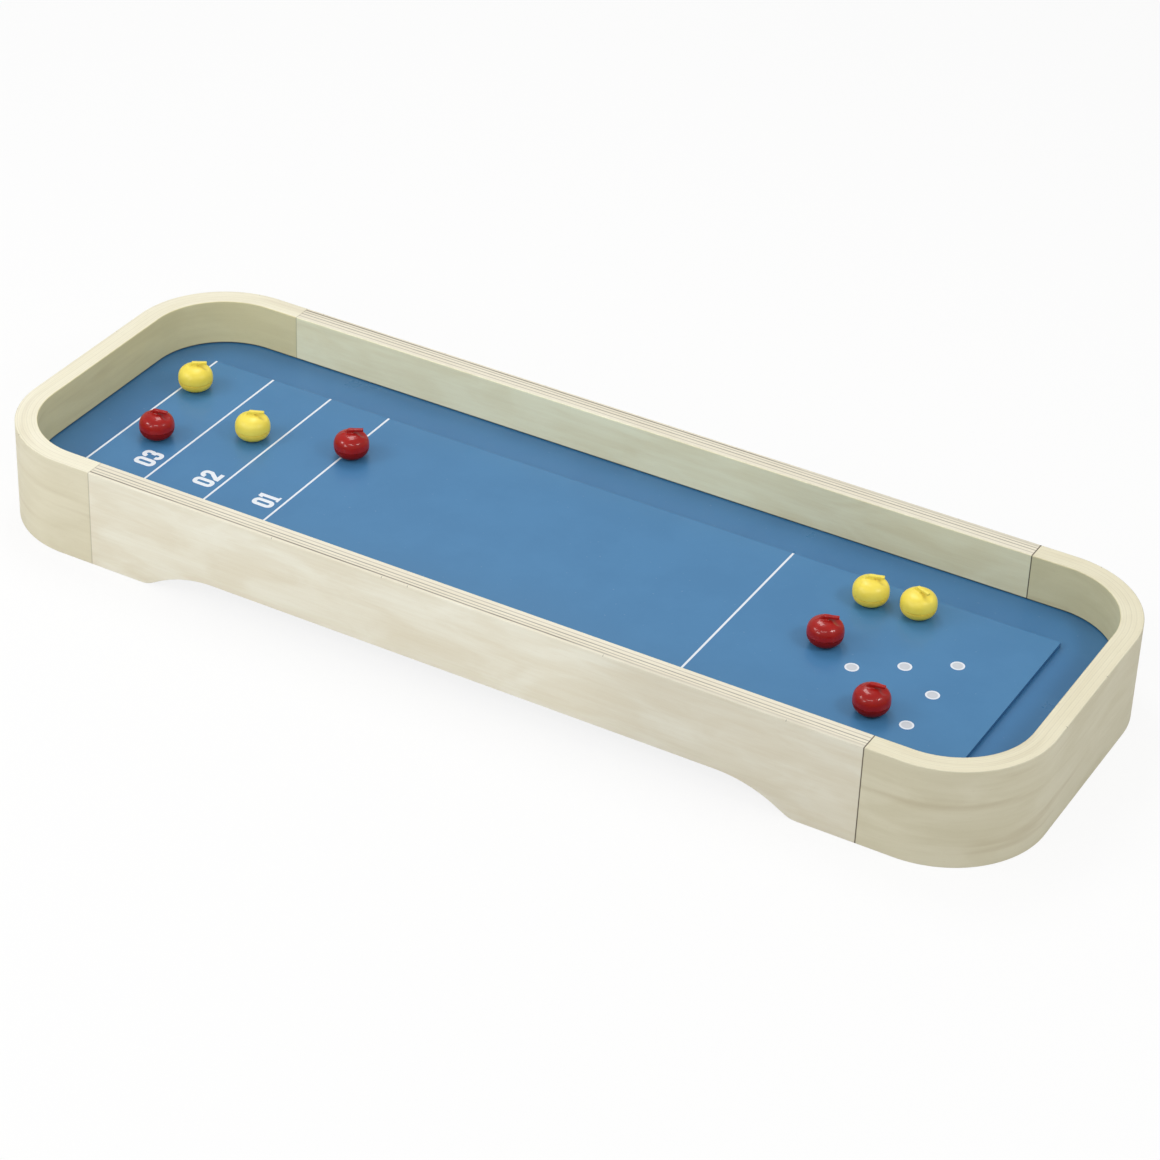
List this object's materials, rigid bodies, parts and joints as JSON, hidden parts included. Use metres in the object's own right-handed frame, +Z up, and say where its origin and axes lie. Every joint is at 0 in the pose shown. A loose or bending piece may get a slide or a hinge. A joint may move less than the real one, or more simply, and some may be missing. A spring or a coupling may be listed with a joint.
{
  "type": "table curling game",
  "caption": "Shallow wooden game tray with bent ends and arched rails, a raised blue lane with printed scoring zones, and small curling stones that roll on balls.",
  "frame": {"origin": "under the middle of the tray, on the surface it stands on", "axes": "+X along the tray from the scoring end to the pin end, +Y to the side of the gutter beside the lane, +Z up"},
  "size_m": [0.75, 0.26, 0.071],
  "materials": {
    "laminated_birch": "pale bent lamination, fine straight grain, matt clear lacquer",
    "rail_plywood": "pale plywood on edge with thin darker glue lines, matt clear lacquer",
    "dowel_beech": "plain turned beech",
    "gutter_paint": "mid blue satin paint",
    "lane_paint": "smooth blue satin paint",
    "white_print": "white screen print",
    "yellow_plastic": "glossy moulded yellow",
    "red_plastic": "glossy moulded red",
    "cup_plastic": "plain moulded grey",
    "ball_steel": "polished bearing steel"
  },
  "bodies": {
    "tray": {"left_end": "laminated_birch", "right_end": "laminated_birch", "front_rail": "rail_plywood", "back_rail": "rail_plywood", "corner_dowels": "dowel_beech", "floor_board": "gutter_paint", "lane_board": "lane_paint", "zone_lines": "white_print", "throwing_line": "white_print", "zone_numerals": "white_print", "pin_spots": "white_print"},
    "stone_1_carrier": {"stone_1_ball_cup": "cup_plastic"},
    "stone_1": {"stone_1_shell": "yellow_plastic", "stone_1_base": "yellow_plastic"},
    "stone_1_roller": {"stone_1_ball": "ball_steel"},
    "stone_2_carrier": {"stone_2_ball_cup": "cup_plastic"},
    "stone_2": {"stone_2_shell": "red_plastic", "stone_2_base": "red_plastic"},
    "stone_2_roller": {"stone_2_ball": "ball_steel"},
    "stone_3_carrier": {"stone_3_ball_cup": "cup_plastic"},
    "stone_3": {"stone_3_shell": "yellow_plastic", "stone_3_base": "yellow_plastic"},
    "stone_3_roller": {"stone_3_ball": "ball_steel"},
    "stone_4_carrier": {"stone_4_ball_cup": "cup_plastic"},
    "stone_4": {"stone_4_shell": "red_plastic", "stone_4_base": "red_plastic"},
    "stone_4_roller": {"stone_4_ball": "ball_steel"},
    "stone_5_carrier": {"stone_5_ball_cup": "cup_plastic"},
    "stone_5": {"stone_5_shell": "yellow_plastic", "stone_5_base": "yellow_plastic"},
    "stone_5_roller": {"stone_5_ball": "ball_steel"},
    "stone_6_carrier": {"stone_6_ball_cup": "cup_plastic"},
    "stone_6": {"stone_6_shell": "yellow_plastic", "stone_6_base": "yellow_plastic"},
    "stone_6_roller": {"stone_6_ball": "ball_steel"},
    "stone_7_carrier": {"stone_7_ball_cup": "cup_plastic"},
    "stone_7": {"stone_7_shell": "red_plastic", "stone_7_base": "red_plastic"},
    "stone_7_roller": {"stone_7_ball": "ball_steel"},
    "stone_8_carrier": {"stone_8_ball_cup": "cup_plastic"},
    "stone_8": {"stone_8_shell": "red_plastic", "stone_8_base": "red_plastic"},
    "stone_8_roller": {"stone_8_ball": "ball_steel"}
  },
  "joints": [
    {"name": "stone_1_slide", "type": "slide", "parent": "tray", "child": "stone_1_carrier", "axis": [1, 0, 0], "range_m": [-0.008, 0.04]},
    {"name": "stone_1_spin", "type": "hinge", "parent": "stone_1_carrier", "child": "stone_1", "pos_m": [-0.3139, 0.03855, 0.04355], "axis": [0, 0, 1], "continuous": true},
    {"name": "stone_1_ball_roll", "type": "hinge", "parent": "stone_1_carrier", "child": "stone_1_roller", "pos_m": [-0.3139, 0.03855, 0.04355], "axis": [0, 1, 0], "continuous": true},
    {"name": "stone_2_slide", "type": "slide", "parent": "tray", "child": "stone_2_carrier", "axis": [1, 0, 0], "range_m": [-0.013, 0.085]},
    {"name": "stone_2_spin", "type": "hinge", "parent": "stone_2_carrier", "child": "stone_2", "pos_m": [-0.2993, -0.02815, 0.04355], "axis": [0, 0, 1], "continuous": true},
    {"name": "stone_2_ball_roll", "type": "hinge", "parent": "stone_2_carrier", "child": "stone_2_roller", "pos_m": [-0.2993, -0.02815, 0.04355], "axis": [0, 1, 0], "continuous": true},
    {"name": "stone_3_slide", "type": "slide", "parent": "tray", "child": "stone_3_carrier", "axis": [1, 0, 0], "range_m": [-0.068, 0.031]},
    {"name": "stone_3_spin", "type": "hinge", "parent": "stone_3_carrier", "child": "stone_3", "pos_m": [-0.2442, 0.00575, 0.04355], "axis": [0, 0, 1], "continuous": true},
    {"name": "stone_3_ball_roll", "type": "hinge", "parent": "stone_3_carrier", "child": "stone_3_roller", "pos_m": [-0.2442, 0.00575, 0.04355], "axis": [0, 1, 0], "continuous": true},
    {"name": "stone_4_slide", "type": "slide", "parent": "tray", "child": "stone_4_carrier", "axis": [1, 0, 0], "range_m": [-0.02, 0.483]},
    {"name": "stone_4_spin", "type": "hinge", "parent": "stone_4_carrier", "child": "stone_4", "pos_m": [-0.1755, 0.02255, 0.04355], "axis": [0, 0, 1], "continuous": true},
    {"name": "stone_4_ball_roll", "type": "hinge", "parent": "stone_4_carrier", "child": "stone_4_roller", "pos_m": [-0.1755, 0.02255, 0.04355], "axis": [0, 1, 0], "continuous": true},
    {"name": "stone_5_slide", "type": "slide", "parent": "tray", "child": "stone_5_carrier", "axis": [1, 0, 0], "range_m": [-0.45, 0.004]},
    {"name": "stone_5_spin", "type": "hinge", "parent": "stone_5_carrier", "child": "stone_5", "pos_m": [0.199, 0.05245, 0.04355], "axis": [0, 0, 1], "continuous": true},
    {"name": "stone_5_ball_roll", "type": "hinge", "parent": "stone_5_carrier", "child": "stone_5_roller", "pos_m": [0.199, 0.05245, 0.04355], "axis": [0, 1, 0], "continuous": true},
    {"name": "stone_6_slide", "type": "slide", "parent": "tray", "child": "stone_6_carrier", "axis": [1, 0, 0], "range_m": [-0.003, 0.078]},
    {"name": "stone_6_spin", "type": "hinge", "parent": "stone_6_carrier", "child": "stone_6", "pos_m": [0.2311, 0.05585, 0.04355], "axis": [0, 0, 1], "continuous": true},
    {"name": "stone_6_ball_roll", "type": "hinge", "parent": "stone_6_carrier", "child": "stone_6_roller", "pos_m": [0.2311, 0.05585, 0.04355], "axis": [0, 1, 0], "continuous": true},
    {"name": "stone_7_slide", "type": "slide", "parent": "tray", "child": "stone_7_carrier", "axis": [1, 0, 0], "range_m": [-0.385, 0.113]},
    {"name": "stone_7_spin", "type": "hinge", "parent": "stone_7_carrier", "child": "stone_7", "pos_m": [0.1948, -0.00425, 0.04355], "axis": [0, 0, 1], "continuous": true},
    {"name": "stone_7_ball_roll", "type": "hinge", "parent": "stone_7_carrier", "child": "stone_7_roller", "pos_m": [0.1948, -0.00425, 0.04355], "axis": [0, 1, 0], "continuous": true},
    {"name": "stone_8_slide", "type": "slide", "parent": "tray", "child": "stone_8_carrier", "axis": [1, 0, 0], "range_m": [-0.564, 0.056]},
    {"name": "stone_8_spin", "type": "hinge", "parent": "stone_8_carrier", "child": "stone_8", "pos_m": [0.2518, -0.05525, 0.04355], "axis": [0, 0, 1], "continuous": true},
    {"name": "stone_8_ball_roll", "type": "hinge", "parent": "stone_8_carrier", "child": "stone_8_roller", "pos_m": [0.2518, -0.05525, 0.04355], "axis": [0, 1, 0], "continuous": true}
  ],
  "couplings": [
    {"joint": "stone_1_ball_roll", "follows": "stone_1_slide", "rad_per_m": 333.33},
    {"joint": "stone_2_ball_roll", "follows": "stone_2_slide", "rad_per_m": 333.33},
    {"joint": "stone_3_ball_roll", "follows": "stone_3_slide", "rad_per_m": 333.33},
    {"joint": "stone_4_ball_roll", "follows": "stone_4_slide", "rad_per_m": 333.33},
    {"joint": "stone_5_ball_roll", "follows": "stone_5_slide", "rad_per_m": 333.33},
    {"joint": "stone_6_ball_roll", "follows": "stone_6_slide", "rad_per_m": 333.33},
    {"joint": "stone_7_ball_roll", "follows": "stone_7_slide", "rad_per_m": 333.33},
    {"joint": "stone_8_ball_roll", "follows": "stone_8_slide", "rad_per_m": 333.33}
  ]
}
